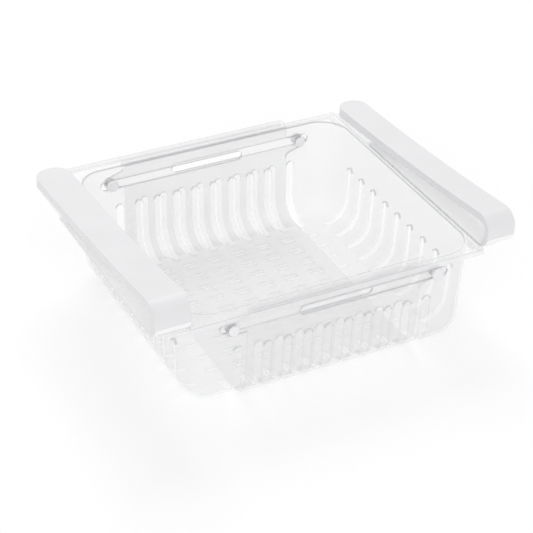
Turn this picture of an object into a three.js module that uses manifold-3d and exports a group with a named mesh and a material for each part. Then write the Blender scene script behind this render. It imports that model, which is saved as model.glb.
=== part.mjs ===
// Pull-out fridge drawer organizer, in millimetres, +Z up, front towards -Y.
// Two half trays nest and slide along X, so the drawer gets longer or shorter.
// Each half has two headed studs, which run in the other half's guide slots.
// A clip rail on each end grips the edge of a fridge shelf, and the drawer hangs below the shelf.
// The origin is below the middle of the drawer, on the surface that it rests on.
import * as THREE from 'three';
import { mergeVertices } from 'three/addons/utils/BufferGeometryUtils.js';
import Module from 'manifold-3d';

const wasm = await Module();
wasm.setup();

// Trays: sizes of the outer one, which the inner one follows
const trayHeight = 58.4;         // floor underside to rim top
const trayHalfWidth = 76.3;      // outer wall face at the rim, from the middle of the width
const endWallX = 83.2;           // outer face of the end wall at the rim
const wall = 1.5;
const layerGap = 0.4;            // running gap between the two trays
const draftShare = 0.04;         // how far the walls lean out for each unit of height
const floorRadius = 13.5;        // round from the walls to the floor
const floorCorner = 2;           // plan corner where that round meets the floor

// Rim
const rimReach = 3.1;            // rim's outer face beyond the wall
const rimSheet = 1.4;
const rimDrop = 3.4;             // rim top to the lip's lower edge

// Headed studs and the guide slots that they run in
const guideDepth = 10.1;         // rim top to the slot's middle
const guideHeight = 5.4;
const guideMargin = 0.8;         // straight wall left past the slot's outer end
const closeTravel = 3.7;         // how far each stud can run outwards
const openTravel = 76.7;         // and inwards
const seatGap = 0.3;             // clearance between pieces that rest on each other
const studRadius = 2.4;
const headRadius = 3.3;
const headThickness = 1.3;
const baseRadius = 2.9;
const baseThickness = 0.8;

// Tabs that carry the studs past each free edge
const tabReach = 8.4;            // stud beyond the free edge
const tabRadius = 3.7;
const tabFillet = 1.2;
const tabRise = 5.8;             // slanted edge's distance from the stud's height at its end
const tabShoulder = 2;           // that end's distance from the free edge
const tabBlend = 9.1;            // where its round meets the free edge, from the stud's height

// Slots in the side walls and the end wall
const slotWidth = 4.8;
const slotBar = 10.5;            // solid wall between the slots and the guide slot
const slotPitch = 11.5;
const slotMargin = 10;           // least distance of a slot's middle from the straight wall's ends
const sideSlotRun = 5.2;         // how far the slots run onto the flat floor
const endSlotPitch = 13.3;
const endSlotMargin = 4;
const endSlotRun = 1.6;

// Slots in the floor
const floorSlotWidth = 3.4;
const floorSlotLength = 8.6;
const floorColumnPitch = 15.2;
const floorColumnMargin = 10;
const floorShift = 0.8;          // middle of the columns beyond the middle of the wall slots
const floorRowPitch = 11.45;
const floorRowMargin = 6;

// Clip rails, alike but for their widths
const rightRailWidth = 16.4;
const leftRailWidth = 18.8;
const railLength = 159.4;
const railSetOut = 0.7;          // rail's inner edge beyond the end wall
const railRise = 17.3;           // top of the nose above the tray's rim
const railPlate = 1.4;           // lower plate, which lies on the tray's end flange
const railNose = 1.8;            // nose beyond the rim's front
const railTipRise = 1.6;         // tip's underside above the end flange
const railTipThickness = 5.7;
const railRootThickness = 4.1;   // upper plate where it leaves the nose
const railTopSag = 1.6;          // upper plate's top below a straight line, halfway along
const railUnderSag = 1;          // and its underside
const railLean = 0.12;           // lean of the upper plate at the nose, in radians
const railInnerRadius = 5.2;     // inside of the nose at its top
const railNoseWall = 3.4;
const railFoot = 6.4;            // nose's front to the inside of its foot
const railTipShare = 0.46;       // plan corners at the tip, of the width
const railFrontRadius = 1.2;     // plan corners at the nose
const railPlateShort = 39;       // lower plate's end, inside the tip

// End flanges and the heat-staked pegs that hold the rails on them
const flangeThickness = 1.5;
const flangeRadius = 6;
const flangeSetBack = 5.5;       // flange's front edge behind the rim's front
const flangeSetIn = 1.8;         // flange's outer edge inside the rail's
const pegRadius = 2;
const pegHeadRadius = 3.2;
const pegHeadHeight = 1.2;
const pegInset = 12;             // from the flange's front edge and the lower plate's end

// How round stretches are divided, and how far a cutting shape passes what it cuts
const cornerSteps = 6;
const filletSteps = 4;
const bendSteps = 12;
const sagSteps = 6;
const roundSteps = 12;
const archSteps = 4;
const floorEndSteps = 2;
const overrun = 10;

// Places that follow from the sizes
const nest = wall + layerGap;
const cornerRadius = floorCorner + floorRadius + draftShare * trayHeight;
const straightX = endWallX - cornerRadius;
const guideZ = trayHeight - guideDepth;
const guideOuterX = straightX - guideMargin;
const studX = guideOuterX - studRadius - seatGap - closeTravel;
const guideInnerX = studX - openTravel - studRadius - seatGap;
const freeEdgeX = studX - tabReach;
const slotTop = guideZ - guideHeight / 2 - slotBar;
const slotsMiddleX = (straightX - freeEdgeX) / 2;
const straightLength = straightX + freeEdgeX;
const flatHalfWidth = trayHalfWidth - draftShare * trayHeight - floorRadius;
const flatEndX = endWallX - draftShare * trayHeight - floorRadius;
const outerRimHalf = trayHalfWidth + rimReach;
const innerRimHalf = outerRimHalf + layerGap + rimSheet;
const innerRimTop = trayHeight + layerGap + rimSheet;
const railInnerX = endWallX + railSetOut;
const flangeDrop = railPlate + seatGap;
const flangeDepth = flangeDrop + flangeThickness;
const farX = railInnerX + leftRailWidth + overrun;
const basketX = (leftRailWidth - rightRailWidth) / 2;
const basketY = railNose / 2;    // middle of the trays, so that the whole part is centred
const quarter = Math.PI / 2;

// Turns a closed geometry into a solid for joining and cutting
function toSolid(geometry) {
  const bare = geometry.index ? geometry.toNonIndexed() : geometry;
  bare.deleteAttribute('normal');
  bare.deleteAttribute('uv');
  const merged = mergeVertices(bare);
  return new wasm.Manifold(new wasm.Mesh({
    numProp: 3,
    vertProperties: new Float32Array(merged.attributes.position.array),
    triVerts: new Uint32Array(merged.index.array),
  }));
}

// Turns a solid back into a geometry, mirrored across the YZ plane where side is -1
function toGeometry(solid, side) {
  const { numProp, vertProperties, triVerts } = solid.getMesh();
  const positions = [];
  for (let i = 0; i < vertProperties.length; i += numProp) {
    positions.push(vertProperties[i] * side, vertProperties[i + 1], vertProperties[i + 2]);
  }
  const index = Array.from(triVerts);
  if (side < 0) index.reverse();
  const geometry = new THREE.BufferGeometry();
  geometry.setAttribute('position', new THREE.Float32BufferAttribute(positions, 3));
  geometry.setIndex(index);
  geometry.computeVertexNormals();
  return geometry;
}

function union(solids) {
  return solids.reduce((sum, next) => sum.add(next));
}

// Outlines are lists of points
function point(x, y) {
  return new THREE.Vector2(x, y);
}

function arc(x, y, radius, start, end, steps) {
  return Array.from({ length: steps + 1 }, (_, i) => {
    const angle = start + (end - start) * (i / steps);
    return point(x + radius * Math.cos(angle), y + radius * Math.sin(angle));
  });
}

function circle(x, y, radius) {
  return arc(x, y, radius, 0, 4 * quarter, roundSteps).slice(1);
}

function rectangle(x0, y0, x1, y1) {
  return [point(x0, y0), point(x1, y0), point(x1, y1), point(x0, y1)];
}

// A slot along the first axis with half-round ends
function levelSlot(x0, x1, y, width, steps) {
  const r = width / 2;
  return [
    ...arc(x1 - r, y, r, -quarter, quarter, steps),
    ...arc(x0 + r, y, r, quarter, 3 * quarter, steps),
  ];
}

// A slot along the second axis, square at y0 and half-round at y1
function archSlot(x, width, y0, y1) {
  const r = width / 2;
  const way = Math.sign(y1 - y0);
  return [
    point(x - r, y0),
    point(x + r, y0),
    ...arc(x, y1 - way * r, r, 0, way * 2 * quarter, archSteps),
  ];
}

// Prisms of outlines in the (x, y), (x, z) and (y, z) planes
function extrude(outline, depth) {
  return new THREE.ExtrudeGeometry(new THREE.Shape(outline), { depth, bevelEnabled: false });
}

function prismAlongZ(outline, from, to) {
  return toSolid(extrude(outline, to - from).translate(0, 0, from));
}

function prismAlongY(outline, from, to) {
  return toSolid(extrude(outline, to - from).rotateX(quarter).translate(0, to, 0));
}

function prismAlongX(outline, from, to) {
  const turned = extrude(outline, to - from).rotateX(quarter).rotateZ(quarter);
  return toSolid(turned.translate(from, 0, 0));
}

// One level of a tray: two straight sides, two round corners at the end wall, square open side
function trayRing(z, endX, halfWidth, radius) {
  const openX = -endWallX - overrun;
  const x = endX - radius;
  const y = halfWidth - radius;
  return [
    point(openX, -halfWidth),
    ...arc(x, -y, radius, -quarter, 0, cornerSteps),
    ...arc(x, y, radius, 0, quarter, cornerSteps),
    point(openX, halfWidth),
  ].map((p) => new THREE.Vector3(p.x, p.y, z));
}

// Skins a stack of rings, and closes it below and above
function loft(rings) {
  const count = rings[0].length;
  const index = [];
  for (let level = 0; level + 1 < rings.length; level += 1) {
    for (let i = 0; i < count; i += 1) {
      const a = level * count + i;
      const b = level * count + ((i + 1) % count);
      index.push(a, b, b + count, a, b + count, a + count);
    }
  }
  const top = (rings.length - 1) * count;
  for (let i = 1; i + 1 < count; i += 1) {
    index.push(0, i + 1, i);
    index.push(top, top + i, top + i + 1);
  }
  const geometry = new THREE.BufferGeometry();
  geometry.setFromPoints(rings.flat());
  geometry.setIndex(index);
  return toSolid(geometry);
}

// The space inside a face that lies inset from the outer tray's outer face.
// Its floor is as much higher, and the round between wall and floor as much smaller.
function traySpace(inset, top) {
  const fillet = floorRadius - inset;
  const levels = Array.from({ length: filletSteps + 1 }, (_, i) => {
    const angle = (i / filletSteps) * quarter;
    return { z: floorRadius - fillet * Math.cos(angle), draw: fillet * (1 - Math.sin(angle)) };
  });
  levels.push({ z: top, draw: 0 });
  return loft(levels.map(({ z, draw }) => {
    const shrink = inset + draw + draftShare * (trayHeight - z);
    return trayRing(z, endWallX - shrink, trayHalfWidth - shrink, cornerRadius - shrink);
  }));
}

// What one half keeps, seen from the side: everything past its free edge, and its tab.
// The tab's slanted edge is above the stud where up is 1, and below it where up is -1.
function halfOutline(up, top) {
  const edge = -freeEdgeX;
  const z = (rise) => guideZ + up * rise;
  const start = up > 0 ? -overrun : top + overrun;
  const end = up > 0 ? top + overrun : -overrun;
  const slant = (tabRise - tabRadius) / (tabReach - tabShoulder);
  const fillet = new THREE.QuadraticBezierCurve(
    point(edge, z(-tabRadius - tabFillet)),
    point(edge, z(-tabRadius)),
    point(edge - tabFillet, z(-tabRadius)));
  const blend = new THREE.QuadraticBezierCurve(
    point(edge - tabShoulder, z(tabRise)),
    point(edge, z(tabRise + slant * tabShoulder)),
    point(edge, z(tabBlend)));
  return [
    point(farX, start),
    point(edge, start),
    ...fillet.getPoints(archSteps),
    ...arc(-studX, guideZ, tabRadius, -up * quarter, -up * 3 * quarter, 2 * archSteps),
    ...blend.getPoints(archSteps),
    point(edge, end),
    point(farX, end),
  ];
}

// How many steps of a pattern fit in a length
function stepsIn(length, pitch) {
  return Math.floor(length / pitch);
}

// Slots that run down a wall, round to the floor and end there
function sideSlots() {
  const across = trayHalfWidth + overrun;
  const last = stepsIn(straightLength - 2 * slotMargin, slotPitch);
  const runEnd = flatHalfWidth - sideSlotRun;
  const slots = [];
  for (let i = 0; i <= last; i += 1) {
    const x = slotsMiddleX + (i - last / 2) * slotPitch;
    for (const side of [-1, 1]) {
      const fromAbove = archSlot(x, slotWidth, side * across, side * runEnd);
      const fromSide = archSlot(x, slotWidth, -overrun, slotTop);
      slots.push(prismAlongZ(fromAbove, -overrun, slotTop + overrun)
        .intersect(prismAlongY(fromSide, -across, across)));
    }
  }
  return union(slots);
}

function endSlots() {
  const past = endWallX + overrun;
  const last = stepsIn(trayHalfWidth - cornerRadius - endSlotMargin, endSlotPitch);
  const runEnd = flatEndX - endSlotRun;
  const slots = [];
  for (let i = -last; i <= last; i += 1) {
    const y = i * endSlotPitch;
    const fromAbove = levelSlot(runEnd, past, y, slotWidth, archSteps);
    const fromEnd = archSlot(y, slotWidth, -overrun, slotTop);
    slots.push(prismAlongZ(fromAbove, -overrun, slotTop + overrun)
      .intersect(prismAlongX(fromEnd, 0, past)));
  }
  return union(slots);
}

function floorSlots() {
  const lastColumn = stepsIn(straightLength - 2 * floorColumnMargin, floorColumnPitch);
  const lastRow = stepsIn(flatHalfWidth - sideSlotRun - floorRowMargin, floorRowPitch);
  const half = floorSlotLength / 2;
  const slots = [];
  for (let i = 0; i <= lastColumn; i += 1) {
    const x = slotsMiddleX + floorShift + (i - lastColumn / 2) * floorColumnPitch;
    for (let j = -lastRow; j <= lastRow; j += 1) {
      const outline = levelSlot(x - half, x + half, j * floorRowPitch, floorSlotWidth, floorEndSteps);
      slots.push(prismAlongZ(outline, -overrun, floorRadius));
    }
  }
  return union(slots);
}

function guideCuts() {
  const across = trayHalfWidth + overrun;
  const guide = levelSlot(guideInnerX, guideOuterX, guideZ, guideHeight, archSteps);
  const hole = circle(-studX, guideZ, studRadius + seatGap);
  return prismAlongY(guide, -across, across).add(prismAlongY(hole, -across, across));
}

// Rim: a flat sheet with a lip hanging from its outer edge, and a web down to the end flange
function rim(top, rimHalf) {
  const openX = -endWallX - overrun;
  const endX = railInnerX - seatGap;
  const inner = rimHalf - rimSheet;
  return union([
    prismAlongZ(rectangle(openX, -rimHalf, endX, rimHalf), top - rimSheet, top),
    prismAlongZ(rectangle(openX, -rimHalf, endX, -inner), top - rimDrop, top),
    prismAlongZ(rectangle(openX, inner, endX, rimHalf), top - rimDrop, top),
    prismAlongZ(rectangle(endX - rimSheet, -rimHalf, endX, rimHalf), top - flangeDepth, top),
  ]);
}

// Where the pegs go along a rail, from the front of the flange to the end of the lower plate
function pegPlaces(rimHalf) {
  const plateEnd = railLength - railNose - rimHalf - railPlateShort;
  return [flangeSetBack - rimHalf + pegInset, plateEnd - pegInset];
}

// Flat flange past the end wall, which carries the clip rail's lower plate
function endFlange(rimTop, rimHalf, railWidth) {
  const r = flangeRadius;
  const start = endWallX - nest - wall;
  const x = railInnerX + railWidth - flangeSetIn - r;
  const front = flangeSetBack - rimHalf;
  const outline = [
    point(start, front),
    ...arc(x, front + r, r, -quarter, 0, archSteps),
    ...arc(x, rimHalf - r, r, 0, quarter, archSteps),
    point(start, rimHalf),
  ];
  const holes = pegPlaces(rimHalf).map((y) => prismAlongZ(
    circle(railInnerX + railWidth / 2, y, pegRadius + seatGap), -overrun, rimTop));
  return prismAlongZ(outline, rimTop - flangeDepth, rimTop - flangeDrop).subtract(union(holes));
}

// A half tray with its end wall towards +X
function halfTray(inset, rimTop, rimHalf, railWidth, up) {
  const room = traySpace(inset + wall, rimTop + overrun);
  const outline = halfOutline(up, rimTop);
  const kept = prismAlongY(outline, -rimHalf - overrun, rimHalf + overrun);
  const flange = endFlange(rimTop, rimHalf, railWidth);
  return union([traySpace(inset, rimTop), rim(rimTop, rimHalf), flange])
    .subtract(union([room, sideSlots(), endSlots(), floorSlots(), guideCuts()]))
    .intersect(kept);
}

// Headed stud that passes through the faces at y = from and y = to.
// Its base lies before the first face, and its head beyond the last one.
function stud(from, to) {
  const way = Math.sign(to - from);
  const faceGap = seatGap + draftShare * headRadius;
  const baseEnd = from - way * faceGap;
  const headStart = to + way * faceGap;
  const start = baseEnd - way * baseThickness;
  const end = headStart + way * headThickness;
  const disc = (radius, a, b) => prismAlongY(
    circle(-studX, guideZ, radius), Math.min(a, b), Math.max(a, b));
  return union([
    disc(studRadius, start, end),
    disc(baseRadius, start, baseEnd),
    disc(headRadius, headStart, end),
  ]);
}

// A curve that hangs below the straight line between two points
function sagged(from, to, sag) {
  const low = point((from.x + to.x) / 2, (from.y + to.y) / 2 - 2 * sag);
  return new THREE.QuadraticBezierCurve(from, low, to).getPoints(sagSteps);
}

// Side of a clip rail: lower plate, round nose at the front, and an upper plate
// that comes down towards its free tip at the back
function railSide(rimTop, front) {
  const noseRadius = (railRise + railPlate) / 2;
  const noseY = front + noseRadius;
  const noseZ = rimTop + railRise - noseRadius;
  const innerY = front + railNoseWall + railInnerRadius;
  const innerZ = rimTop + railRise - railRootThickness - railInnerRadius;
  const tip = front + railLength;
  const start = quarter - railLean;
  const nose = arc(noseY, noseZ, noseRadius, start, 3 * quarter, bendSteps);
  const inside = arc(innerY, innerZ, railInnerRadius, 2 * quarter, start, bendSteps / 2);
  const tipLow = point(tip, rimTop - flangeDrop + railTipRise);
  const tipHigh = point(tip, tipLow.y + railTipThickness);
  return [
    point(tip - railPlateShort, rimTop - railPlate),
    point(tip - railPlateShort, rimTop),
    point(front + railFoot, rimTop),
    ...inside.slice(0, -1),
    ...sagged(inside.at(-1), tipLow, railUnderSag),
    ...sagged(tipHigh, nose[0], railTopSag),
    ...nose.slice(1),
  ];
}

function railPlan(front, width) {
  const outerX = railInnerX + width;
  const tipR = width * railTipShare;
  const tipY = front + railLength - tipR;
  const noseR = railFrontRadius;
  const noseY = front + noseR;
  return [
    ...arc(railInnerX + noseR, noseY, noseR, 2 * quarter, 3 * quarter, archSteps / 2),
    ...arc(outerX - noseR, noseY, noseR, -quarter, 0, archSteps / 2),
    ...arc(outerX - tipR, tipY, tipR, 0, quarter, archSteps),
    ...arc(railInnerX + tipR, tipY, tipR, quarter, 2 * quarter, archSteps),
  ];
}

// A peg goes down through the flange, and its staked head holds the flange from below
function railPegs(rimTop, rimHalf, width) {
  const x = railInnerX + width / 2;
  const headTop = rimTop - flangeDepth - seatGap;
  const start = headTop - pegHeadHeight;
  return union(pegPlaces(rimHalf).flatMap((y) => [
    prismAlongZ(circle(x, y, pegRadius), start, rimTop - railPlate / 2),
    prismAlongZ(circle(x, y, pegHeadRadius), start, headTop),
  ]));
}

function clipRail(rimTop, rimHalf, width) {
  const front = -rimHalf - railNose;
  const plan = prismAlongZ(railPlan(front, width), 0, rimTop + railRise + overrun);
  return prismAlongX(railSide(rimTop, front), railInnerX, railInnerX + width)
    .intersect(plan)
    .add(railPegs(rimTop, rimHalf, width));
}

const group = new THREE.Group();

function addPiece(name, solid, side, material) {
  const mesh = new THREE.Mesh(toGeometry(solid, side), material);
  mesh.name = name;
  mesh.position.set(basketX, basketY, 0);
  group.add(mesh);
}

function plastic(color, roughness, opacity) {
  return new THREE.MeshStandardMaterial({
    color, roughness, metalness: 0, opacity, transparent: opacity < 1, flatShading: true,
  });
}

// The outer tray ends at +X. The inner tray is the mirror image, and its rim hooks over the other.
const outerTray = halfTray(0, trayHeight, outerRimHalf, rightRailWidth, 1);
const innerTray = halfTray(nest, innerRimTop, innerRimHalf, leftRailWidth, -1);
const rightRail = clipRail(trayHeight, outerRimHalf, rightRailWidth);
const leftRail = clipRail(innerRimTop, innerRimHalf, leftRailWidth);
addPiece('outer_tray', outerTray, 1, plastic(0xf1f3f5, 0.35, 0.5));
addPiece('inner_tray', innerTray, -1, plastic(0xf1f3f5, 0.35, 0.5));
addPiece('right_clip_rail', rightRail, 1, plastic(0xeceef1, 0.45, 1));
addPiece('left_clip_rail', leftRail, -1, plastic(0xeceef1, 0.45, 1));

// The outer tray's studs point inwards, and the inner tray's point outwards
const outsideY = trayHalfWidth - draftShare * guideDepth;
const insideY = outsideY - nest - wall;
for (const [place, side] of [['front', -1], ['back', 1]]) {
  const inward = stud(side * outsideY, side * insideY);
  const outward = stud(side * insideY, side * outsideY);
  addPiece(`outer_tray_${place}_stud`, inward, 1, plastic(0xdfe3e6, 0.4, 1));
  addPiece(`inner_tray_${place}_stud`, outward, -1, plastic(0xdfe3e6, 0.4, 1));
}

export default group;
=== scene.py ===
import math

import bmesh
import bpy
from mathutils import Euler, Matrix, Vector


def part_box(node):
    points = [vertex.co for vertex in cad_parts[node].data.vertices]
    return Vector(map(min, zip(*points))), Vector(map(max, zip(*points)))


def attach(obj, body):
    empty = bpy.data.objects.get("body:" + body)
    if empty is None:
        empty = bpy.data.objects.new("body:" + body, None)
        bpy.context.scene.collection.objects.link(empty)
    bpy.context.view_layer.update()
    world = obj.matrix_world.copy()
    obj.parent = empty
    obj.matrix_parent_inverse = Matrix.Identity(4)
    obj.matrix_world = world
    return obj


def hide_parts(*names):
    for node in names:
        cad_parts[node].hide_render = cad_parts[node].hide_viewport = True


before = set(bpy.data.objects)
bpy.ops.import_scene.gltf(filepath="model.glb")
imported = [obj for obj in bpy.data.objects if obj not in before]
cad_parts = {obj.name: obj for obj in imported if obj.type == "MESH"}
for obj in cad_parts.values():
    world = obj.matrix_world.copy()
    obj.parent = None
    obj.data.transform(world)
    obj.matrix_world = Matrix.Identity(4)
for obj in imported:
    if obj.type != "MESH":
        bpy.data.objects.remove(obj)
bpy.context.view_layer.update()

MM = 0.001
QUARTER = math.pi / 2

# Sizes that the frame gives
outer_lo, outer_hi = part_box("outer_tray")
inner_lo, inner_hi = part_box("inner_tray")
right_lo, right_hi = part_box("right_clip_rail")
left_lo, left_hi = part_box("left_clip_rail")
RIGHT_RAIL_WIDTH = right_hi.x - right_lo.x
LEFT_RAIL_WIDTH = left_hi.x - left_lo.x
RAIL_LENGTH = right_hi.y - right_lo.y
BASKET_X = (LEFT_RAIL_WIDTH - RIGHT_RAIL_WIDTH) / 2
BASKET_Y = (outer_lo.y + outer_hi.y) / 2
TRAY_HEIGHT = outer_hi.z
INNER_RIM_TOP = inner_hi.z
OUTER_RIM_HALF = (outer_hi.y - outer_lo.y) / 2
INNER_RIM_HALF = (inner_hi.y - inner_lo.y) / 2
RAIL_INNER_X = right_lo.x - BASKET_X
RAIL_RISE = right_hi.z - TRAY_HEIGHT
RAIL_NOSE = outer_lo.y - right_lo.y

# Trays
WALL = 1.5 * MM
LAYER_GAP = 0.4 * MM
DRAFT_SHARE = 0.04
FLOOR_RADIUS = 13.5 * MM
FLOOR_CORNER = 2 * MM
RIM_REACH = 3.1 * MM
RIM_SHEET = 1.4 * MM
RIM_DROP = 3.4 * MM
RIM_ROUND = 1.9 * MM             # inner edge of the rim
LIP_ROUND = 0.6 * MM             # outer edge of the rim
RAIL_SET_OUT = 0.7 * MM

# Guide slots, tabs and studs
GUIDE_DEPTH = 10.1 * MM
GUIDE_HEIGHT = 5.4 * MM
GUIDE_MARGIN = 0.8 * MM
CLOSE_TRAVEL = 3.7 * MM
OPEN_TRAVEL = 76.7 * MM
SEAT_GAP = 0.3 * MM
STUD_RADIUS = 2.4 * MM
HEAD_RADIUS = 3.3 * MM
HEAD_THICKNESS = 1.3 * MM
BASE_RADIUS = 2.9 * MM
BASE_THICKNESS = 0.8 * MM
TAB_REACH = 8.4 * MM
TAB_RADIUS = 3.7 * MM
TAB_FILLET = 1.2 * MM
TAB_RISE = 5.8 * MM
TAB_SHOULDER = 2 * MM
TAB_BLEND = 9.1 * MM

# Slots
SLOT_WIDTH = 4.8 * MM
SLOT_BAR = 10.5 * MM
SLOT_PITCH = 11.5 * MM
SLOT_COUNT = 9
SIDE_SLOT_RUN = 5.2 * MM
END_SLOT_PITCH = 13.3 * MM
END_SLOT_COUNT = 9
END_SLOT_RUN = 1.6 * MM
FLOOR_SLOT_WIDTH = 3.4 * MM
FLOOR_SLOT_LENGTH = 8.6 * MM
FLOOR_COLUMN_PITCH = 15.2 * MM
FLOOR_COLUMNS = 7
FLOOR_SHIFT = 0.8 * MM
FLOOR_ROW_PITCH = 11.45 * MM
FLOOR_ROWS = 9

# Clip rails
RAIL_PLATE = 1.4 * MM
RAIL_TIP_RISE = 1.6 * MM         # underside of the tip above the end flange
RAIL_TIP_THICKNESS = 5.7 * MM
RAIL_ROOT_THICKNESS = 4.1 * MM
RAIL_TOP_SAG = 1.6 * MM
RAIL_UNDER_SAG = 1 * MM
RAIL_LEAN = 0.12                 # of the upper plate at the nose, in radians
RAIL_INNER_RADIUS = 5.2 * MM
RAIL_NOSE_WALL = 3.4 * MM
RAIL_FOOT = 6.4 * MM
RAIL_TIP_SHARE = 0.46            # plan corners at the tip, of the width
RAIL_FRONT_RADIUS = 1.2 * MM
RAIL_PLATE_SHORT = 39 * MM
RAIL_EDGE = 1.3 * MM             # rounding of the rails' outer long edges
INNER_EDGE_SHARE = 0.4           # of it, at the edges that face the gap
PLATE_EDGE_SHARE = 0.25          # of it, at the lower plate
FLANGE_THICKNESS = 1.5 * MM
FLANGE_RADIUS = 6 * MM
FLANGE_SET_BACK = 5.5 * MM
FLANGE_SET_IN = 1.8 * MM
PEG_RADIUS = 2 * MM
PEG_HEAD_RADIUS = 3.2 * MM
PEG_HEAD_HEIGHT = 1.2 * MM
PEG_INSET = 12 * MM

OVERRUN = 10 * MM
CORNER_STEPS = 20
FILLET_STEPS = 14
ARC_STEPS = 14
BEND_STEPS = 40
SAG_STEPS = 24
EDGE_STEPS = 4
SHARP_ANGLE = math.radians(35)   # faces that meet at more keep a crease between them

# Where a piece's second and third materials go: painted shade on tray cut faces and rim edges, painted light
# in rail gaps
CUT_DEPTHS = (0.08, 0.92)        # shares of the wall's thickness, from its outer face
RIM_EDGE_SLOPES = (0.25, 0.6)    # upward share of the normal along the rim's round edges
UNDERSIDE_SLOPE = -0.3
TOP_SLOPE = 0.9

# Places that follow
NEST = WALL + LAYER_GAP
TRAY_HALF_WIDTH = OUTER_RIM_HALF - RIM_REACH
END_WALL_X = RAIL_INNER_X - RAIL_SET_OUT
CORNER_RADIUS = FLOOR_CORNER + FLOOR_RADIUS + DRAFT_SHARE * TRAY_HEIGHT
STRAIGHT_X = END_WALL_X - CORNER_RADIUS
GUIDE_Z = TRAY_HEIGHT - GUIDE_DEPTH
GUIDE_OUTER_X = STRAIGHT_X - GUIDE_MARGIN
STUD_X = GUIDE_OUTER_X - STUD_RADIUS - SEAT_GAP - CLOSE_TRAVEL
GUIDE_INNER_X = STUD_X - OPEN_TRAVEL - STUD_RADIUS - SEAT_GAP
FREE_EDGE_X = STUD_X - TAB_REACH
SLOT_TOP = GUIDE_Z - GUIDE_HEIGHT / 2 - SLOT_BAR
SLOTS_MIDDLE_X = (STRAIGHT_X - FREE_EDGE_X) / 2
FLAT_HALF_WIDTH = TRAY_HALF_WIDTH - DRAFT_SHARE * TRAY_HEIGHT - FLOOR_RADIUS
FLAT_END_X = END_WALL_X - DRAFT_SHARE * TRAY_HEIGHT - FLOOR_RADIUS
FLANGE_DROP = RAIL_PLATE + SEAT_GAP
FLANGE_DEPTH = FLANGE_DROP + FLANGE_THICKNESS


# Outlines
def arc(x, y, radius, start, end, steps):
    angles = [start + (end - start) * i / steps for i in range(steps + 1)]
    return [(x + radius * math.cos(a), y + radius * math.sin(a)) for a in angles]


def circle(x, y, radius, steps=3 * ARC_STEPS):
    return arc(x, y, radius, 0, 4 * QUARTER, steps)[1:]


def rectangle(x0, y0, x1, y1):
    return [(x0, y0), (x1, y0), (x1, y1), (x0, y1)]


def level_slot(x0, x1, y, width, steps=ARC_STEPS):
    r = width / 2
    right = arc(x1 - r, y, r, -QUARTER, QUARTER, steps)
    return right + arc(x0 + r, y, r, QUARTER, 3 * QUARTER, steps)


def arch_slot(x, width, y0, y1):
    r = width / 2
    way = 1 if y1 > y0 else -1
    return [(x - r, y0), (x + r, y0)] + arc(x, y1 - way * r, r, 0, way * 2 * QUARTER, ARC_STEPS)


def quadratic(a, b, c, steps=ARC_STEPS):
    points = []
    for i in range(steps + 1):
        t = i / steps
        weights = ((1 - t) ** 2, 2 * t * (1 - t), t ** 2)
        points.append(tuple(sum(w * p[k] for w, p in zip(weights, (a, b, c))) for k in (0, 1)))
    return points


# Solids
def solid(name, bm):
    bmesh.ops.recalc_face_normals(bm, faces=bm.faces)
    mesh = bpy.data.meshes.new(name)
    bm.to_mesh(mesh)
    bm.free()
    obj = bpy.data.objects.new(name, mesh)
    bpy.context.scene.collection.objects.link(obj)
    return obj


def skin(bm, rings):
    """Joins a stack of point rings into a closed skin in bm."""
    levels = [[bm.verts.new(p) for p in ring] for ring in rings]
    count = len(levels[0])
    for low, high in zip(levels, levels[1:]):
        for i in range(count):
            j = (i + 1) % count
            bm.faces.new((low[i], low[j], high[j], high[i]))
    bm.faces.new(levels[0][::-1])
    bm.faces.new(levels[-1])


def prisms(outlines, axis, start, end):
    """One object with a prism of each outline, which lies in (x, y), (x, z) or (y, z)."""
    bm = bmesh.new()
    for outline in outlines:
        rings = []
        for along in (start, end):
            if axis == "Z":
                rings.append([(a, b, along) for a, b in outline])
            elif axis == "Y":
                rings.append([(a, along, b) for a, b in outline])
            else:
                rings.append([(along, a, b) for a, b in outline])
        skin(bm, rings)
    return solid("cutter", bm)


def combine(target, other, operation):
    """Cuts, joins or crosses target with other, which is used up."""
    modifier = target.modifiers.new("boolean", "BOOLEAN")
    modifier.operation = operation
    modifier.solver = "MANIFOLD"
    modifier.object = other
    bake_modifiers(target)
    bpy.data.objects.remove(other)
    return target


def bake_modifiers(obj):
    graph = bpy.context.evaluated_depsgraph_get()
    mesh = bpy.data.meshes.new_from_object(obj.evaluated_get(graph))
    obj.modifiers.clear()
    old = obj.data
    obj.data = mesh
    bpy.data.meshes.remove(old)


# Trays
def tray_ring(z, end_x, half_width, radius):
    open_x = -END_WALL_X - OVERRUN
    x, y = end_x - radius, half_width - radius
    points = [(open_x, -half_width)]
    points += arc(x, -y, radius, -QUARTER, 0, CORNER_STEPS)
    points += arc(x, y, radius, 0, QUARTER, CORNER_STEPS)
    points.append((open_x, half_width))
    return [(px, py, z) for px, py in points]


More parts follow.
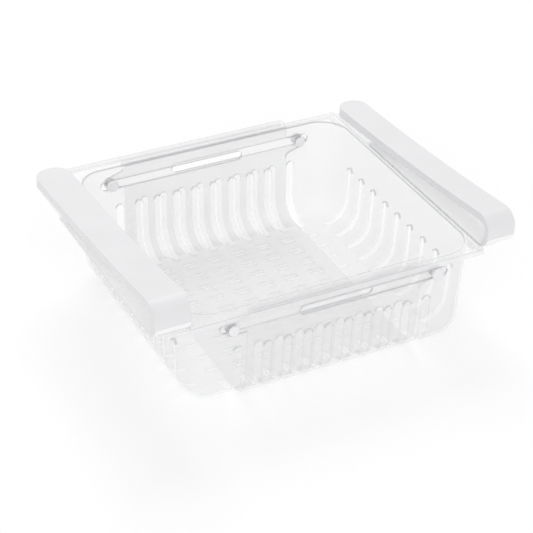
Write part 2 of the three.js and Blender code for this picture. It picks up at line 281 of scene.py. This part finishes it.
def tray_space(inset, top, flare_from=None):
    """The space inside a face that lies inset from the outer tray's outer face.

    It flares out round the rim's inner edge where flare_from gives the rim's top."""
    fillet = FLOOR_RADIUS - inset
    levels = []
    for i in range(FILLET_STEPS + 1):
        angle = QUARTER * i / FILLET_STEPS
        levels.append((FLOOR_RADIUS - fillet * math.cos(angle), fillet * (1 - math.sin(angle))))
    if flare_from is not None:
        for i in range(ARC_STEPS // 2 + 1):
            angle = QUARTER * i / (ARC_STEPS // 2)
            z = flare_from - RIM_ROUND * (1 - math.sin(angle))
            levels.append((z, -RIM_ROUND * (1 - math.cos(angle))))
        levels.append((top, -RIM_ROUND))
    else:
        levels.append((top, 0))
    rings = []
    for z, draw in levels:
        shrink = inset + draw + DRAFT_SHARE * (TRAY_HEIGHT - z)
        size = (END_WALL_X - shrink, TRAY_HALF_WIDTH - shrink, CORNER_RADIUS - shrink)
        rings.append(tray_ring(z, *size))
    bm = bmesh.new()
    skin(bm, rings)
    return solid("tray", bm)


def half_outline(up, top):
    """What one half keeps, seen from the side: everything past its free edge, and its tab."""
    edge, far = -FREE_EDGE_X, RAIL_INNER_X + LEFT_RAIL_WIDTH + OVERRUN
    start, end = (-OVERRUN, top + OVERRUN) if up > 0 else (top + OVERRUN, -OVERRUN)
    slant = (TAB_RISE - TAB_RADIUS) / (TAB_REACH - TAB_SHOULDER)

    def z(rise):
        return GUIDE_Z + up * rise

    points = [(far, start), (edge, start)]
    points += quadratic(
        (edge, z(-TAB_RADIUS - TAB_FILLET)), (edge, z(-TAB_RADIUS)), (edge - TAB_FILLET, z(-TAB_RADIUS)))
    points += arc(-STUD_X, GUIDE_Z, TAB_RADIUS, -up * QUARTER, -up * 3 * QUARTER, 2 * ARC_STEPS)
    points += quadratic(
        (edge - TAB_SHOULDER, z(TAB_RISE)), (edge, z(TAB_RISE + slant * TAB_SHOULDER)), (edge, z(TAB_BLEND)))
    return points + [(edge, end), (far, end)]


def spread(count, pitch, middle=0):
    return [middle + (i - (count - 1) / 2) * pitch for i in range(count)]


def side_slots():
    across = TRAY_HALF_WIDTH + OVERRUN
    run_end = FLAT_HALF_WIDTH - SIDE_SLOT_RUN
    places = spread(SLOT_COUNT, SLOT_PITCH, SLOTS_MIDDLE_X)
    from_above = [arch_slot(x, SLOT_WIDTH, s * across, s * run_end) for x in places for s in (-1, 1)]
    from_side = [arch_slot(x, SLOT_WIDTH, -OVERRUN, SLOT_TOP) for x in places]
    slots = prisms(from_above, "Z", -OVERRUN, SLOT_TOP + OVERRUN)
    return combine(slots, prisms(from_side, "Y", -across, across), "INTERSECT")


def end_slots():
    past = END_WALL_X + OVERRUN
    run_end = FLAT_END_X - END_SLOT_RUN
    places = spread(END_SLOT_COUNT, END_SLOT_PITCH)
    from_above = [level_slot(run_end, past, y, SLOT_WIDTH) for y in places]
    from_end = [arch_slot(y, SLOT_WIDTH, -OVERRUN, SLOT_TOP) for y in places]
    slots = prisms(from_above, "Z", -OVERRUN, SLOT_TOP + OVERRUN)
    return combine(slots, prisms(from_end, "X", 0, past), "INTERSECT")


def floor_slots():
    half = FLOOR_SLOT_LENGTH / 2
    outlines = []
    for x in spread(FLOOR_COLUMNS, FLOOR_COLUMN_PITCH, SLOTS_MIDDLE_X + FLOOR_SHIFT):
        for y in spread(FLOOR_ROWS, FLOOR_ROW_PITCH):
            outlines.append(level_slot(x - half, x + half, y, FLOOR_SLOT_WIDTH, ARC_STEPS // 2))
    return prisms(outlines, "Z", -OVERRUN, FLOOR_RADIUS)


def guide_cuts():
    across = TRAY_HALF_WIDTH + OVERRUN
    guide = level_slot(GUIDE_INNER_X, GUIDE_OUTER_X, GUIDE_Z, GUIDE_HEIGHT)
    hole = circle(-STUD_X, GUIDE_Z, STUD_RADIUS + SEAT_GAP)
    return prisms([guide, hole], "Y", -across, across)


def rounded_block(x0, x1, half_width, z0, z1, round_top):
    """A block whose upper edges and corners are rounded by round_top."""
    rings = []
    for i in range(ARC_STEPS // 2 + 1):
        angle = QUARTER * i / (ARC_STEPS // 2)
        inset = round_top * (1 - math.cos(angle))
        z = z1 - round_top * (1 - math.sin(angle))
        corner = round_top * 2 - inset
        x, y = x1 - inset - corner, half_width - inset - corner
        points = [(x0, -half_width + inset)] + arc(x, -y, corner, -QUARTER, 0, ARC_STEPS // 2)
        points += arc(x, y, corner, 0, QUARTER, ARC_STEPS // 2) + [(x0, half_width - inset)]
        rings.append([(px, py, z) for px, py in points])
    low = [(px, py, z0) for px, py, _ in rings[0]]
    bm = bmesh.new()
    skin(bm, [low] + rings)
    return solid("block", bm)


def rim(top, rim_half):
    open_x = -END_WALL_X - OVERRUN
    end_x = RAIL_INNER_X - SEAT_GAP
    inner = rim_half - RIM_SHEET
    block = rounded_block(open_x, end_x, rim_half, top - RIM_DROP, top, LIP_ROUND)
    under = rectangle(open_x - OVERRUN, -inner, end_x - RIM_SHEET, inner)
    combine(block, prisms([under], "Z", -OVERRUN, top - RIM_SHEET), "DIFFERENCE")
    web = rectangle(end_x - RIM_SHEET, -rim_half, end_x, rim_half)
    return combine(block, prisms([web], "Z", top - FLANGE_DEPTH, top - RIM_SHEET), "UNION")


def peg_places(rim_half):
    plate_end = RAIL_LENGTH - RAIL_NOSE - rim_half - RAIL_PLATE_SHORT
    return FLANGE_SET_BACK - rim_half + PEG_INSET, plate_end - PEG_INSET


def end_flange(rim_top, rim_half, rail_width):
    r = FLANGE_RADIUS
    start = END_WALL_X - NEST - WALL
    x, front = RAIL_INNER_X + rail_width - FLANGE_SET_IN - r, FLANGE_SET_BACK - rim_half
    outline = [(start, front)] + arc(x, front + r, r, -QUARTER, 0, ARC_STEPS)
    outline += arc(x, rim_half - r, r, 0, QUARTER, ARC_STEPS) + [(start, rim_half)]
    peg_x = RAIL_INNER_X + rail_width / 2
    holes = [circle(peg_x, y, PEG_RADIUS + SEAT_GAP) for y in peg_places(rim_half)]
    flange = prisms([outline], "Z", rim_top - FLANGE_DEPTH, rim_top - FLANGE_DROP)
    return combine(flange, prisms(holes, "Z", -OVERRUN, rim_top), "DIFFERENCE")


def half_tray(inset, rim_top, rim_half, rail_width, up):
    tray = tray_space(inset, rim_top - RIM_SHEET / 2)
    combine(tray, rim(rim_top, rim_half), "UNION")
    combine(tray, end_flange(rim_top, rim_half, rail_width), "UNION")
    combine(tray, tray_space(inset + WALL, rim_top + OVERRUN, rim_top), "DIFFERENCE")
    for cut in (side_slots(), end_slots(), floor_slots(), guide_cuts()):
        combine(tray, cut, "DIFFERENCE")
    kept = prisms([half_outline(up, rim_top)], "Y", -rim_half - OVERRUN, rim_half + OVERRUN)
    return combine(tray, kept, "INTERSECT")


def depth_share(p, inset):
    """How deep a point of a tray lies in its wall or floor: 0 at the outer face, 1 at the inner."""
    lean = DRAFT_SHARE * (TRAY_HEIGHT - p.z)
    straight = CORNER_RADIUS - lean
    centre_x, centre_y = END_WALL_X - lean - straight, TRAY_HALF_WIDTH - lean - straight
    over_x, over_y = max(p.x - centre_x, 0), max(abs(p.y) - centre_y, 0)
    side = straight - math.hypot(over_x, over_y)
    if p.z < FLOOR_RADIUS:
        fall = FLOOR_RADIUS - p.z
        side = FLOOR_RADIUS - math.hypot(max(FLOOR_RADIUS - side, 0), fall)
    return (side - inset) / WALL


def mark_edge_shade_and_rim(tray, inset, rim_top):
    """Gives the second material, a painted shade, to the faces that cross the wall's thickness and to the
    rim's round inner edge, and the third to the rim.
    """
    shallow, deep = CUT_DEPTHS
    level, steep = RIM_EDGE_SLOPES
    for face in tray.data.polygons:
        p = face.center
        depth = depth_share(p, inset)
        # faces across the wall and along the rim's round inner edge get the painted shade
        crossing = NEST + WALL < p.z < rim_top - RIM_SHEET - RIM_ROUND and shallow < depth < deep
        rim_edge = p.z > rim_top - RIM_ROUND and level < face.normal.z < steep
        on_rim = depth < 0 and p.z > rim_top - RIM_DROP - SEAT_GAP and p.x < RAIL_INNER_X
        face.material_index = 1 if crossing or rim_edge else 2 if on_rim else 0


# Studs and rails
def lathe(name, profile, x, z):
    """Turns a profile of (y, radius) pairs round a line along Y."""
    rings = []
    for y, radius in profile:
        rings.append([(px, y, pz) for px, pz in circle(x, z, radius, 4 * ARC_STEPS)])
    bm = bmesh.new()
    skin(bm, rings)
    return solid(name, bm)


def stud(name, first, last):
    """Headed stud through the faces at y = first and y = last, with rounded head and base."""
    way = 1 if last > first else -1
    gap = SEAT_GAP + DRAFT_SHARE * HEAD_RADIUS
    base_end, head_start = first - way * gap, last + way * gap
    profile = []
    edge = BASE_THICKNESS / 2
    for px, py in arc(0, BASE_RADIUS - edge, edge, 0, QUARTER, ARC_STEPS // 2):
        profile.append((base_end - way * (BASE_THICKNESS - edge + px), py))
    profile += [(base_end, BASE_RADIUS), (base_end, STUD_RADIUS)]
    profile += [(head_start, STUD_RADIUS), (head_start, HEAD_RADIUS)]
    edge = HEAD_THICKNESS / 2
    for px, py in arc(0, HEAD_RADIUS - edge, edge, QUARTER, 0, ARC_STEPS // 2):
        profile.append((head_start + way * (HEAD_THICKNESS - edge + px), py))
    return lathe(name, profile, -STUD_X, GUIDE_Z)


def sagged(a, b, sag):
    """A curve that hangs below the straight line between two points."""
    low = ((a[0] + b[0]) / 2, (a[1] + b[1]) / 2 - 2 * sag)
    return quadratic(a, low, b, SAG_STEPS)


def rail_side(rim_top, front):
    r = (RAIL_RISE + RAIL_PLATE) / 2
    top, tip = rim_top + RAIL_RISE, front + RAIL_LENGTH
    inner_y = front + RAIL_NOSE_WALL + RAIL_INNER_RADIUS
    inner_z = top - RAIL_ROOT_THICKNESS - RAIL_INNER_RADIUS
    start = QUARTER - RAIL_LEAN
    nose = arc(front + r, top - r, r, start, 3 * QUARTER, BEND_STEPS)
    inside = arc(inner_y, inner_z, RAIL_INNER_RADIUS, 2 * QUARTER, start, BEND_STEPS // 2)
    tip_low = (tip, rim_top - FLANGE_DROP + RAIL_TIP_RISE)
    tip_high = (tip, tip_low[1] + RAIL_TIP_THICKNESS)
    plate_end = tip - RAIL_PLATE_SHORT
    points = [(plate_end, rim_top - RAIL_PLATE), (plate_end, rim_top), (front + RAIL_FOOT, rim_top)]
    points += inside[:-1] + sagged(inside[-1], tip_low, RAIL_UNDER_SAG)
    return points + sagged(tip_high, nose[0], RAIL_TOP_SAG) + nose[1:]


def rail_plan(front, width):
    outer_x, tip_y = RAIL_INNER_X + width, front + RAIL_LENGTH
    t, n = width * RAIL_TIP_SHARE, RAIL_FRONT_RADIUS
    points = arc(RAIL_INNER_X + n, front + n, n, 2 * QUARTER, 3 * QUARTER, ARC_STEPS // 2)
    points += arc(outer_x - n, front + n, n, -QUARTER, 0, ARC_STEPS // 2)
    points += arc(outer_x - t, tip_y - t, t, 0, QUARTER, ARC_STEPS)
    return points + arc(RAIL_INNER_X + t, tip_y - t, t, QUARTER, 2 * QUARTER, ARC_STEPS)


def clip_rail(rim_top, rim_half, width):
    front = -rim_half - RAIL_NOSE
    rail = prisms([rail_side(rim_top, front)], "X", RAIL_INNER_X, RAIL_INNER_X + width)
    combine(rail, prisms([rail_plan(front, width)], "Z", 0, 2 * rim_top), "INTERSECT")
    x = RAIL_INNER_X + width / 2
    head_top = rim_top - FLANGE_DEPTH - SEAT_GAP
    start, end = head_top - PEG_HEAD_HEIGHT, rim_top - RAIL_PLATE / 2
    places = peg_places(rim_half)
    pegs = prisms([circle(x, y, PEG_RADIUS) for y in places], "Z", start, end)
    heads = prisms([circle(x, y, PEG_HEAD_RADIUS) for y in places], "Z", start, head_top)
    combine(rail, combine(pegs, heads, "UNION"), "UNION")
    round_rail(rail, rim_top, front)
    mark_gap_painted_light(rail, rim_top, front)
    return rail


def round_rail(rail, rim_top, front):
    """Rounds the rail's long edges, most at the outside of the thick upper plate."""
    bm = bmesh.new()
    bm.from_mesh(rail.data)
    weights = bm.edges.layers.float.new("bevel_weight_edge")
    bottom = rim_top - RAIL_PLATE
    half_height = (RAIL_RISE + RAIL_PLATE) / 2
    bend_y, middle_z = front + half_height, bottom + half_height
    plate_end = front + RAIL_LENGTH - RAIL_PLATE_SHORT
    for edge in bm.edges:
        if len(edge.link_faces) != 2 or edge.calc_face_angle() < SHARP_ANGLE:
            continue
        p = (edge.verts[0].co + edge.verts[1].co) / 2
        if p.z < bottom - SEAT_GAP / 2:
            continue
        low_share = min(max((middle_z - p.z) / half_height, 0), 1)
        facing = sum((f.normal for f in edge.link_faces), Vector())
        if p.y < bend_y:
            outside = Vector((0, p.y - bend_y, p.z - middle_z)).dot(facing) > 0
            weight = 1 if outside else INNER_EDGE_SHARE
            weight = weight * (1 - low_share) + PLATE_EDGE_SHARE * low_share
        elif p.z > rim_top + SEAT_GAP or p.y > plate_end + SEAT_GAP:
            weight = 1 if facing.z > 0 else INNER_EDGE_SHARE
        else:
            weight = PLATE_EDGE_SHARE
        edge[weights] = weight
    bm.to_mesh(rail.data)
    bm.free()
    modifier = rail.modifiers.new("round", "BEVEL")
    modifier.limit_method = "WEIGHT"
    modifier.width = RAIL_EDGE
    modifier.segments = EDGE_STEPS
    modifier.use_clamp_overlap = True
    bake_modifiers(rail)


def mark_gap_painted_light(rail, rim_top, front):
    """Gives the second material, a lighter copy that paints light into the clip's shaded gap, to the faces
    that look into the gap.
    """
    inner_y = front + RAIL_NOSE_WALL + RAIL_INNER_RADIUS
    inner_z = rim_top + RAIL_RISE - RAIL_ROOT_THICKNESS - RAIL_INNER_RADIUS
    for face in rail.data.polygons:
        p = face.center
        under_arm = p.z > rim_top + SEAT_GAP and face.normal.z < UNDERSIDE_SLOPE
        on_plate = abs(p.z - rim_top) < SEAT_GAP and face.normal.z > TOP_SLOPE
        in_nose = math.hypot(p.y - inner_y, p.z - inner_z) < RAIL_INNER_RADIUS + SEAT_GAP
        face.material_index = 1 if under_arm or on_plate or in_nose else 0


def finish_piece(obj, name, node, body, side, materials):
    """Mirrors the piece where side is -1, puts it in place and hands it to the frame.

    Its faces keep the material numbers that they were given, which clearing the list resets."""
    obj.name = obj.data.name = name
    place = Matrix.Translation((BASKET_X, BASKET_Y, 0))
    obj.data.transform(place @ Matrix.Diagonal((side, 1, 1, 1)))
    if side < 0:
        obj.data.flip_normals()
    marks = [face.material_index for face in obj.data.polygons]
    obj.data.materials.clear()
    for material in materials:
        obj.data.materials.append(material)
    for face, mark in zip(obj.data.polygons, marks):
        face.material_index = mark
    obj.data.shade_smooth()
    obj.data.set_sharp_from_angle(angle=SHARP_ANGLE)
    weighted = obj.modifiers.new("weighted", "WEIGHTED_NORMAL")
    weighted.keep_sharp = True
    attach(obj, body)
    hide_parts(node)
    return obj


# Materials
TRAY_ROUGHNESS = 0.36
STUD_ROUGHNESS = 0.38
RAIL_ROUGHNESS = 0.42
ROUGHNESS_SPREAD = 0.05
TRAY_GRAIN = 0.1
STUD_GRAIN = 0.2
RAIL_GRAIN = 0.3
GRAIN_HEIGHT = 0.05 * MM
GRAIN_SCALE = 1400
CLOUD_SCALE = 45
CLOUD_EDGES = (0.35, 0.65)
CLOUD_SHADES = (0.985, 1.01)     # of the colour
PLASTIC_IOR = 1.49


def plastic(name, colour, cover, roughness, grain):
    """Moulded plastic: faint cloudiness in the colour, uneven gloss and a fine skin.

    A face hides the share cover of what is behind it, and each wall has two faces."""
    material = bpy.data.materials.new(name)
    material.use_nodes = True
    nodes, links = material.node_tree.nodes, material.node_tree.links
    shader = nodes["Principled BSDF"]
    shader.inputs["Alpha"].default_value = cover
    shader.inputs["IOR"].default_value = PLASTIC_IOR
    place = nodes.new("ShaderNodeTexCoord")

    cloud = nodes.new("ShaderNodeTexNoise")
    cloud.inputs["Scale"].default_value = CLOUD_SCALE
    cloud.inputs["Detail"].default_value = 3
    links.new(place.outputs["Object"], cloud.inputs["Vector"])
    shades = nodes.new("ShaderNodeValToRGB")
    for stop, edge, shade in zip(shades.color_ramp.elements, CLOUD_EDGES, CLOUD_SHADES):
        stop.position = edge
        stop.color = [min(c * shade, 1) for c in colour] + [1]
    links.new(cloud.outputs["Fac"], shades.inputs["Fac"])
    links.new(shades.outputs["Color"], shader.inputs["Base Color"])

    gloss = nodes.new("ShaderNodeMapRange")
    gloss.inputs["To Min"].default_value = roughness - ROUGHNESS_SPREAD
    gloss.inputs["To Max"].default_value = roughness + ROUGHNESS_SPREAD
    links.new(cloud.outputs["Fac"], gloss.inputs["Value"])
    links.new(gloss.outputs["Result"], shader.inputs["Roughness"])

    skin_grain = nodes.new("ShaderNodeTexNoise")
    skin_grain.inputs["Scale"].default_value = GRAIN_SCALE
    skin_grain.inputs["Detail"].default_value = 2
    links.new(place.outputs["Object"], skin_grain.inputs["Vector"])
    bump = nodes.new("ShaderNodeBump")
    bump.inputs["Strength"].default_value = grain
    bump.inputs["Distance"].default_value = GRAIN_HEIGHT
    links.new(skin_grain.outputs["Fac"], bump.inputs["Height"])
    links.new(bump.outputs["Normal"], shader.inputs["Normal"])
    return material


tray_plastic = plastic("tray plastic", (0.935, 0.935, 0.945), 0.23, TRAY_ROUGHNESS, TRAY_GRAIN)
# darker copy of the tray plastic: painted shade for the dark lines along cut faces and the rim's round inner
# edge
tray_edge_painted_shade = plastic("tray edge painted shade", (0.5, 0.5, 0.515), 0.6, TRAY_ROUGHNESS, TRAY_GRAIN)
rim_plastic = plastic("rim plastic", (0.93, 0.93, 0.94), 0.45, TRAY_ROUGHNESS, TRAY_GRAIN)
rail_plastic = plastic("rail plastic", (0.8, 0.8, 0.812), 1, RAIL_ROUGHNESS, RAIL_GRAIN)
# lighter copy of the rail plastic: painted light that brightens the shade in the clip's gap
rail_gap_painted_light = plastic("rail gap painted light", (0.965, 0.965, 0.968), 1, RAIL_ROUGHNESS, RAIL_GRAIN)
stud_plastic = plastic("stud plastic", (0.85, 0.85, 0.862), 1, STUD_ROUGHNESS, STUD_GRAIN)


# The object
for name, inset, top, rim_half, rail_width, side, body in (
    ("outer_tray", 0, TRAY_HEIGHT, OUTER_RIM_HALF, RIGHT_RAIL_WIDTH, 1, "outer_half"),
    ("inner_tray", NEST, INNER_RIM_TOP, INNER_RIM_HALF, LEFT_RAIL_WIDTH, -1, "inner_half"),
):
    tray = half_tray(inset, top, rim_half, rail_width, side)
    mark_edge_shade_and_rim(tray, inset, top)
    materials = (tray_plastic, tray_edge_painted_shade, rim_plastic)
    finish_piece(tray, name + "_moulding", name, body, side, materials)

for name, top, rim_half, width, side, body in (
    ("right_clip_rail", TRAY_HEIGHT, OUTER_RIM_HALF, RIGHT_RAIL_WIDTH, 1, "outer_half"),
    ("left_clip_rail", INNER_RIM_TOP, INNER_RIM_HALF, LEFT_RAIL_WIDTH, -1, "inner_half"),
):
    rail = clip_rail(top, rim_half, width)
    finish_piece(rail, name + "_moulding", name, body, side, (rail_plastic, rail_gap_painted_light))

OUTSIDE_Y = TRAY_HALF_WIDTH - DRAFT_SHARE * GUIDE_DEPTH
INSIDE_Y = OUTSIDE_Y - NEST - WALL
for place, way in (("front", -1), ("back", 1)):
    for tray_name, side, body, first, last in (
        ("outer_tray", 1, "outer_half", OUTSIDE_Y, INSIDE_Y),
        ("inner_tray", -1, "inner_half", INSIDE_Y, OUTSIDE_Y),
    ):
        name = f"{tray_name}_{place}_stud"
        piece = stud(name, way * first, way * last)
        finish_piece(piece, name + "_turned", name, body, side, (stud_plastic,))


# Floor, light and camera
FLOOR_HALF = 4
FLOOR_SHADE = 0.6                # share of the floor's white that a shadow can take away
FLOOR_WHITE = 1.01               # of the floor as seen, with its full light
FLOOR_LIGHTING = 0.98            # of the light that the floor gives back to the object
AMBIENT = 0.67
BOUNCES = 16                     # light goes through many walls and back and forth between them

# Lamps: share of the light on a level face, then lean, turn from the front and spread in degrees
KEY = (0.18, 40, 160, 34)
FILL = (0.14, 55, -30, 60)


def mixed_by_ray(tree, seen, lighting):
    """The shader seen where a ray comes from the camera or by gloss or glass, lighting elsewhere."""
    nodes, links = tree.nodes, tree.links
    path = nodes.new("ShaderNodeLightPath")
    seen_or_glossy = nodes.new("ShaderNodeMath")
    seen_or_glossy.operation = "MAXIMUM"
    links.new(path.outputs["Is Camera Ray"], seen_or_glossy.inputs[0])
    links.new(path.outputs["Is Glossy Ray"], seen_or_glossy.inputs[1])
    shown = nodes.new("ShaderNodeMath")
    shown.operation = "MAXIMUM"
    links.new(seen_or_glossy.outputs[0], shown.inputs[0])
    links.new(path.outputs["Is Transmission Ray"], shown.inputs[1])
    mix = nodes.new("ShaderNodeMixShader")
    links.new(shown.outputs[0], mix.inputs["Fac"])
    links.new(lighting, mix.inputs[1])
    links.new(seen, mix.inputs[2])
    return mix.outputs[0]


def make_floor():
    bm = bmesh.new()
    bmesh.ops.create_grid(bm, x_segments=1, y_segments=1, size=FLOOR_HALF)
    floor = solid("floor", bm)
    material = bpy.data.materials.new("floor white")
    material.use_nodes = True
    material.cycles.emission_sampling = "NONE"
    tree = material.node_tree
    tree.nodes.clear()
    shaded = tree.nodes.new("ShaderNodeBsdfDiffuse")
    shaded.inputs["Color"].default_value = (FLOOR_SHADE, FLOOR_SHADE, FLOOR_SHADE, 1)
    glow = tree.nodes.new("ShaderNodeEmission")
    glow.inputs["Strength"].default_value = FLOOR_WHITE - FLOOR_SHADE
    both = tree.nodes.new("ShaderNodeAddShader")
    tree.links.new(shaded.outputs[0], both.inputs[0])
    tree.links.new(glow.outputs[0], both.inputs[1])
    plain = tree.nodes.new("ShaderNodeBsdfDiffuse")
    plain.inputs["Color"].default_value = (FLOOR_LIGHTING, FLOOR_LIGHTING, FLOOR_LIGHTING, 1)
    out = tree.nodes.new("ShaderNodeOutputMaterial")
    tree.links.new(mixed_by_ray(tree, both.outputs[0], plain.outputs[0]), out.inputs["Surface"])
    floor.data.materials.append(material)


def make_world():
    world = bpy.data.worlds.new("studio")
    bpy.context.scene.world = world
    world.use_nodes = True
    tree = world.node_tree
    tree.nodes.clear()
    white = tree.nodes.new("ShaderNodeBackground")
    white.inputs["Color"].default_value = (1, 1, 1, 1)
    white.inputs["Strength"].default_value = 1
    ambient = tree.nodes.new("ShaderNodeBackground")
    ambient.inputs["Color"].default_value = (1, 1, 1, 1)
    ambient.inputs["Strength"].default_value = AMBIENT
    out = tree.nodes.new("ShaderNodeOutputWorld")
    tree.links.new(mixed_by_ray(tree, white.outputs[0], ambient.outputs[0]), out.inputs["Surface"])


def make_lamp(name, share, lean, turn, spread):
    light = bpy.data.lights.new(name, "SUN")
    light.angle = math.radians(spread)
    light.energy = share * math.pi / math.cos(math.radians(lean))
    lamp = bpy.data.objects.new(name, light)
    lamp.rotation_euler = Euler((math.radians(lean), 0, math.radians(turn)))
    bpy.context.scene.collection.objects.link(lamp)


CAMERA_YAW = math.radians(28.587)
CAMERA_PITCH = math.radians(33.947)
CAMERA_ROLL = math.radians(2.011)
CAMERA_AIM = Vector((17.405, 30.518, 0)) * MM
CAMERA_DISTANCE = 978.32 * MM
FRAME_PIXELS = 533
FOCAL_PIXELS = 1742.89
SENSOR = 36
CLIP_START = 10 * MM


def make_camera():
    data = bpy.data.cameras.new("camera")
    data.sensor_width = SENSOR
    data.lens = SENSOR * FOCAL_PIXELS / FRAME_PIXELS
    data.clip_start = CLIP_START
    camera = bpy.data.objects.new("camera", data)
    turn = Euler((QUARTER - CAMERA_PITCH, 0, -CAMERA_YAW)).to_matrix()
    turn = turn @ Matrix.Rotation(CAMERA_ROLL, 3, "Z")
    place = CAMERA_AIM + turn @ Vector((0, 0, CAMERA_DISTANCE))
    camera.matrix_world = Matrix.Translation(place) @ turn.to_4x4()
    bpy.context.scene.collection.objects.link(camera)
    bpy.context.scene.camera = camera


make_floor()
make_world()
make_lamp("key", *KEY)
make_lamp("fill", *FILL)
make_camera()
bpy.context.scene.view_settings.view_transform = "Standard"
cycles = bpy.context.scene.cycles
cycles.max_bounces = cycles.transmission_bounces = cycles.glossy_bounces = BOUNCES
cycles.diffuse_bounces = BOUNCES
